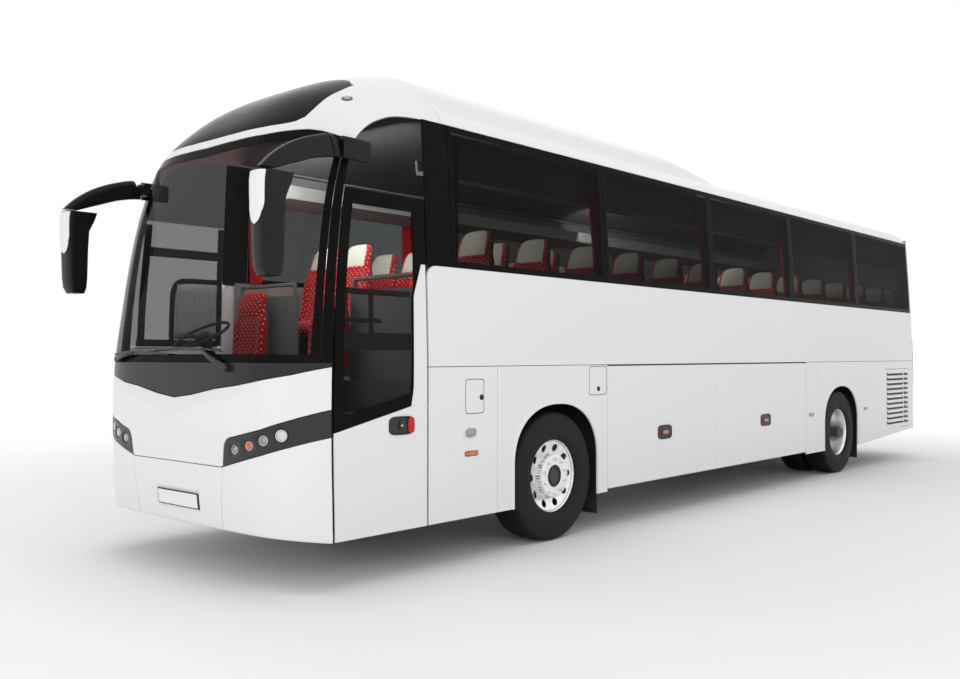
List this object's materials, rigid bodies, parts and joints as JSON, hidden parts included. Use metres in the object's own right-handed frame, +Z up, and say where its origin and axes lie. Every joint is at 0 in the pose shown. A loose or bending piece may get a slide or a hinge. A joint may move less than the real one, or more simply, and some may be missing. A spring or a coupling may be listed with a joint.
{
  "type": "coach bus",
  "caption": "High-floor single-deck touring coach with swinging front door, steered front wheels, twin rear wheels, lifting luggage flaps and rear engine door.",
  "frame": {"origin": "on the ground under the middle of the coach's bounding box", "axes": "+Z up, the coach faces -Y, its passenger door is on the +X side"},
  "size_m": [2.61, 11.975, 3.64],
  "materials": {
    "white_paint": "gloss white paint",
    "black_gloss": "gloss black",
    "tinted_glass": "tinted glass",
    "clear_glass": "clear glass",
    "lamp_lens": "clear lamp lens",
    "red_lens": "red lamp lens",
    "steel_frame": "dark painted steel",
    "cast_axle": "cast iron",
    "tyre_rubber": "tyre rubber",
    "wheel_alloy": "polished aluminium",
    "rubber": "black rubber",
    "dark_trim": "matt dark trim",
    "grey_trim": "grey interior trim",
    "floor_cover": "grey floor covering",
    "seat_cloth": "red seat cloth with pale dots",
    "curtain_cloth": "red curtain cloth"
  },
  "bodies": {
    "coach_body": {"chassis_frame": "steel_frame", "floor_deck": "floor_cover", "cab_floor": "floor_cover", "entrance_steps": "floor_cover", "cab_partition": "grey_trim", "wheel_housings": "dark_trim", "luggage_bay": "grey_trim", "engine_block": "cast_axle", "front_axle": "cast_axle", "rear_axle": "cast_axle", "mudflaps": "rubber", "side_left": "white_paint", "side_right": "white_paint", "side_glass": "tinted_glass", "roof_panel": "white_paint", "roof_pod": "white_paint", "front_cap": "white_paint", "windscreen": "clear_glass", "front_panel": "white_paint", "headlamps": "lamp_lens", "front_bumper": "white_paint", "rear_wall": "white_paint", "rear_window": "tinted_glass", "rear_bumper": "white_paint", "tail_lamps": "red_lens", "mirrors": "black_gloss", "wipers": "dark_trim", "dashboard": "dark_trim", "steering_wheel": "dark_trim", "crew_seats": "seat_cloth", "door_portal": "steel_frame", "seat_bases": "seat_cloth", "seat_backs": "seat_cloth", "luggage_racks": "grey_trim", "curtains": "curtain_cloth"},
    "knuckle_left": {"knuckle_left": "cast_axle"},
    "knuckle_right": {"knuckle_right": "cast_axle"},
    "wheel_front_left": {"tyre_front_left": "tyre_rubber", "rim_front_left": "wheel_alloy"},
    "wheel_front_right": {"tyre_front_right": "tyre_rubber", "rim_front_right": "wheel_alloy"},
    "wheels_rear_left": {"tyres_rear_left": "tyre_rubber", "rims_rear_left": "wheel_alloy"},
    "wheels_rear_right": {"tyres_rear_right": "tyre_rubber", "rims_rear_right": "wheel_alloy"},
    "door_arm": {"door_arm": "steel_frame"},
    "door_leaf": {"door_leaf": "white_paint", "door_glass": "clear_glass"},
    "flap_left_front": {"flap_left_front": "white_paint"},
    "flap_left_rear": {"flap_left_rear": "white_paint"},
    "flap_right_front": {"flap_right_front": "white_paint"},
    "flap_right_rear": {"flap_right_rear": "white_paint"},
    "service_door_left": {"service_door_left": "white_paint"},
    "service_door_right": {"service_door_right": "white_paint"},
    "engine_door": {"engine_door": "white_paint"}
  },
  "joints": [
    {"name": "steer_left", "type": "hinge", "parent": "coach_body", "child": "knuckle_left", "pos_m": [1, -3.035, 0.518], "axis": [0, 0, 1], "range_deg": [-40, 40]},
    {"name": "steer_right", "type": "hinge", "parent": "coach_body", "child": "knuckle_right", "pos_m": [-1, -3.035, 0.518], "axis": [0, 0, 1], "range_deg": [-40, 40]},
    {"name": "spin_front_left", "type": "hinge", "parent": "knuckle_left", "child": "wheel_front_left", "pos_m": [1, -3.035, 0.518], "axis": [1, 0, 0], "continuous": true},
    {"name": "spin_front_right", "type": "hinge", "parent": "knuckle_right", "child": "wheel_front_right", "pos_m": [-1, -3.035, 0.518], "axis": [1, 0, 0], "continuous": true},
    {"name": "spin_rear_left", "type": "hinge", "parent": "coach_body", "child": "wheels_rear_left", "pos_m": [1, 2.925, 0.518], "axis": [1, 0, 0], "continuous": true},
    {"name": "spin_rear_right", "type": "hinge", "parent": "coach_body", "child": "wheels_rear_right", "pos_m": [-1, 2.925, 0.518], "axis": [1, 0, 0], "continuous": true},
    {"name": "door_swing", "type": "hinge", "parent": "coach_body", "child": "door_arm", "pos_m": [1.195, -5.295, 1.1], "axis": [0, 0, 1], "range_deg": [-155, 0]},
    {"name": "door_turn", "type": "hinge", "parent": "door_arm", "child": "door_leaf", "pos_m": [1.185, -4.895, 1.1], "axis": [0, 0, 1], "range_deg": [0, 155]},
    {"name": "flap_left_front_lift", "type": "hinge", "parent": "coach_body", "child": "flap_left_front", "pos_m": [1.275, -1.36, 1.401], "axis": [0, -1, 0], "range_deg": [0, 110]},
    {"name": "flap_left_rear_lift", "type": "hinge", "parent": "coach_body", "child": "flap_left_rear", "pos_m": [1.275, 0.72, 1.401], "axis": [0, -1, 0], "range_deg": [0, 110]},
    {"name": "service_door_left_swing", "type": "hinge", "parent": "coach_body", "child": "service_door_left", "pos_m": [1.275, 4.537, 0.878], "axis": [0, 0, -1], "range_deg": [0, 110]},
    {"name": "flap_right_front_lift", "type": "hinge", "parent": "coach_body", "child": "flap_right_front", "pos_m": [-1.275, -1.36, 1.401], "axis": [0, 1, 0], "range_deg": [0, 110]},
    {"name": "flap_right_rear_lift", "type": "hinge", "parent": "coach_body", "child": "flap_right_rear", "pos_m": [-1.275, 0.72, 1.401], "axis": [0, 1, 0], "range_deg": [0, 110]},
    {"name": "service_door_right_swing", "type": "hinge", "parent": "coach_body", "child": "service_door_right", "pos_m": [-1.275, 4.537, 0.878], "axis": [0, 0, 1], "range_deg": [0, 110]},
    {"name": "engine_door_lift", "type": "hinge", "parent": "coach_body", "child": "engine_door", "pos_m": [0, 5.992, 1.503], "axis": [1, 0, 0], "range_deg": [0, 100]}
  ],
  "couplings": [
    {"joint": "steer_right", "follows": "steer_left", "ratio": 1},
    {"joint": "door_turn", "follows": "door_swing", "ratio": -1}
  ]
}
